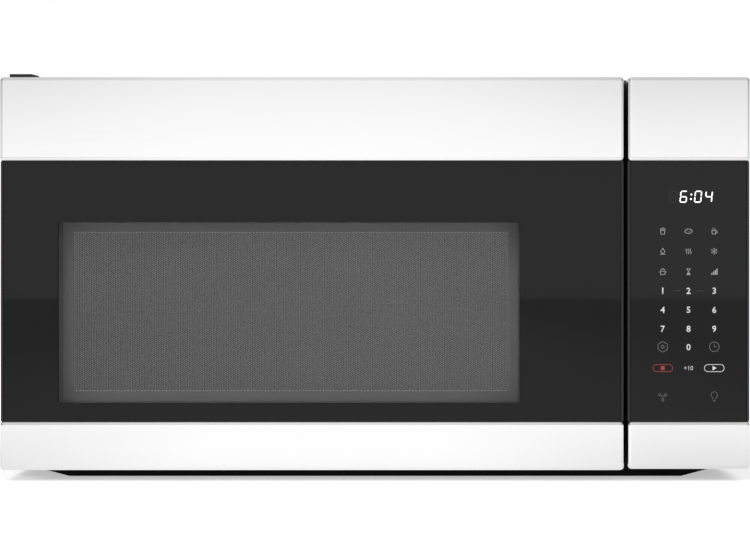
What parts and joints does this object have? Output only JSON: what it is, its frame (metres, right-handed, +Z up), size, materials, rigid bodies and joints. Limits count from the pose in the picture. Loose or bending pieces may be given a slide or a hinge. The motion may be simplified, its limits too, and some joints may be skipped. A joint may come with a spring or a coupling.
{
  "type": "over the range microwave oven",
  "caption": "Wall-hung microwave oven with a side-hinged window door, a touch panel, a turntable, and a vent blower with grease filters below.",
  "frame": {"origin": "centre of the whole appliance's footprint, on the underside of the base pan", "axes": "+X to the right as seen from the front, +Y towards the wall behind, +Z up"},
  "size_m": [0.7588, 0.394, 0.4143],
  "materials": {
    "black_enamel": "satin",
    "grey_enamel": "gloss",
    "face_enamel": "satin",
    "choke_paint": "matte",
    "screen_paint": "matte",
    "stainless": "brushed",
    "zinc": "matte",
    "iron": "matte",
    "aluminium": "matte",
    "black_plastic": "satin",
    "black_glass": "gloss",
    "door_glass": "gloss",
    "clear_glass": "gloss",
    "white_plastic": "satin",
    "grey_plastic": "satin",
    "mica": "matte",
    "board_green": "satin",
    "charcoal": "matte",
    "red_plastic": "gloss"
  },
  "bodies": {
    "cabinet": {"outer_case": "black_enamel", "rear_plate": "zinc", "base_pan": "black_enamel", "front_plate": "face_enamel", "cavity_wrap": "grey_enamel", "cavity_floor": "grey_enamel", "cavity_back": "grey_enamel", "waveguide": "zinc", "waveguide_cover": "mica", "magnetron": "aluminium", "high_voltage_transformer": "iron", "capacitor": "aluminium", "component_shelf": "zinc", "fan_shroud": "white_plastic", "fan_motor": "iron", "blower_housing": "zinc", "blower_motor": "iron", "vent_grille": "black_plastic", "charcoal_filter": "charcoal", "duct_cover": "zinc", "turntable_motor": "zinc", "cavity_lamp": "zinc", "latch_board": "white_plastic", "interlock_switches": "grey_plastic", "control_panel_frame": "black_plastic", "control_glass": "black_glass", "control_trim_top": "stainless", "control_trim_bottom": "stainless", "control_board": "board_green", "display_module": "grey_plastic", "cord_bushing": "black_plastic", "upper_hinge_bracket": "black_enamel", "lower_hinge_bracket": "zinc", "cooktop_lamp_lens": "clear_glass", "cooktop_lamp": "zinc", "case_screws": "zinc"},
    "door": {"door_frame": "black_plastic", "door_glass": "door_glass", "door_trim_top": "stainless", "door_trim_bottom": "stainless", "door_screen": "screen_paint", "door_choke": "choke_paint", "choke_cover": "grey_plastic", "inner_window": "clear_glass", "hinge_bushes": "white_plastic", "latch_spring": "zinc"},
    "latch": {"latch_hooks": "white_plastic"},
    "turntable_drive": {"drive_coupler": "white_plastic"},
    "tray": {"glass_tray": "clear_glass"},
    "ring": {"roller_ring": "white_plastic"},
    "roller_1": {"roller_a": "white_plastic"},
    "roller_2": {"roller_b": "white_plastic"},
    "roller_3": {"roller_c": "white_plastic"},
    "blower": {"blower_rotor": "aluminium"},
    "fan": {"cooling_fan": "black_plastic"},
    "filter_left": {"grease_filter_left": "aluminium"},
    "filter_right": {"grease_filter_right": "aluminium"},
    "primary_button": {"primary_switch_button": "red_plastic"},
    "secondary_button": {"secondary_switch_button": "red_plastic"},
    "monitor_button": {"monitor_switch_button": "red_plastic"}
  },
  "joints": [
    {"name": "door_hinge", "type": "hinge", "parent": "cabinet", "child": "door", "pos_m": [-0.3639, -0.1735, 0.21], "axis": [0, 0, -1], "range_deg": [0, 100]},
    {"name": "latch_slide", "type": "slide", "parent": "door", "child": "latch", "axis": [0, 0, 1], "range_m": [0, 0.004], "stiffness_N_per_m": 900, "springref_m": -0.004, "deforming": ["latch_spring"]},
    {"name": "turntable_spin", "type": "hinge", "parent": "cabinet", "child": "turntable_drive", "pos_m": [-0.074, 0.011, 0.06], "axis": [0, 0, 1], "continuous": true},
    {"name": "tray_lift", "type": "slide", "parent": "turntable_drive", "child": "tray", "axis": [0, 0, 1], "range_m": [0, 0.06]},
    {"name": "ring_spin", "type": "hinge", "parent": "cabinet", "child": "ring", "pos_m": [-0.074, 0.011, 0.06], "axis": [0, 0, 1], "continuous": true},
    {"name": "roller_1_spin", "type": "hinge", "parent": "ring", "child": "roller_1", "pos_m": [-0.074, 0.1193, 0.0606], "axis": [0, 1, 0], "continuous": true},
    {"name": "roller_2_spin", "type": "hinge", "parent": "ring", "child": "roller_2", "pos_m": [-0.16779, -0.04315, 0.0606], "axis": [-0.866, -0.5, 0], "continuous": true},
    {"name": "roller_3_spin", "type": "hinge", "parent": "ring", "child": "roller_3", "pos_m": [0.01979, -0.04315, 0.0606], "axis": [0.866, -0.5, 0], "continuous": true},
    {"name": "blower_spin", "type": "hinge", "parent": "cabinet", "child": "blower", "pos_m": [-0.074, 0.1162, 0.3555], "axis": [1, 0, 0], "continuous": true},
    {"name": "cooling_fan_spin", "type": "hinge", "parent": "cabinet", "child": "fan", "pos_m": [0.2821, 0.15, 0.205], "axis": [0, 1, 0], "continuous": true},
    {"name": "left_filter_slide", "type": "slide", "parent": "cabinet", "child": "filter_left", "axis": [0, 1, 0], "range_m": [0, 0.012]},
    {"name": "right_filter_slide", "type": "slide", "parent": "cabinet", "child": "filter_right", "axis": [0, 1, 0], "range_m": [0, 0.012]},
    {"name": "primary_switch_travel", "type": "slide", "parent": "cabinet", "child": "primary_button", "axis": [0, 1, 0], "range_m": [0, 0.0012], "stiffness_N_per_m": 300, "springref_m": -0.001},
    {"name": "secondary_switch_travel", "type": "slide", "parent": "cabinet", "child": "secondary_button", "axis": [0, 1, 0], "range_m": [0, 0.0012], "stiffness_N_per_m": 300, "springref_m": -0.001},
    {"name": "monitor_switch_travel", "type": "slide", "parent": "cabinet", "child": "monitor_button", "axis": [0, 1, 0], "range_m": [0, 0.0012], "stiffness_N_per_m": 300, "springref_m": -0.001}
  ],
  "couplings": [
    {"joint": "ring_spin", "follows": "turntable_spin", "ratio": 0.5},
    {"joint": "roller_1_spin", "follows": "turntable_spin", "ratio": -7.3176},
    {"joint": "roller_2_spin", "follows": "turntable_spin", "ratio": -7.3176},
    {"joint": "roller_3_spin", "follows": "turntable_spin", "ratio": -7.3176}
  ]
}
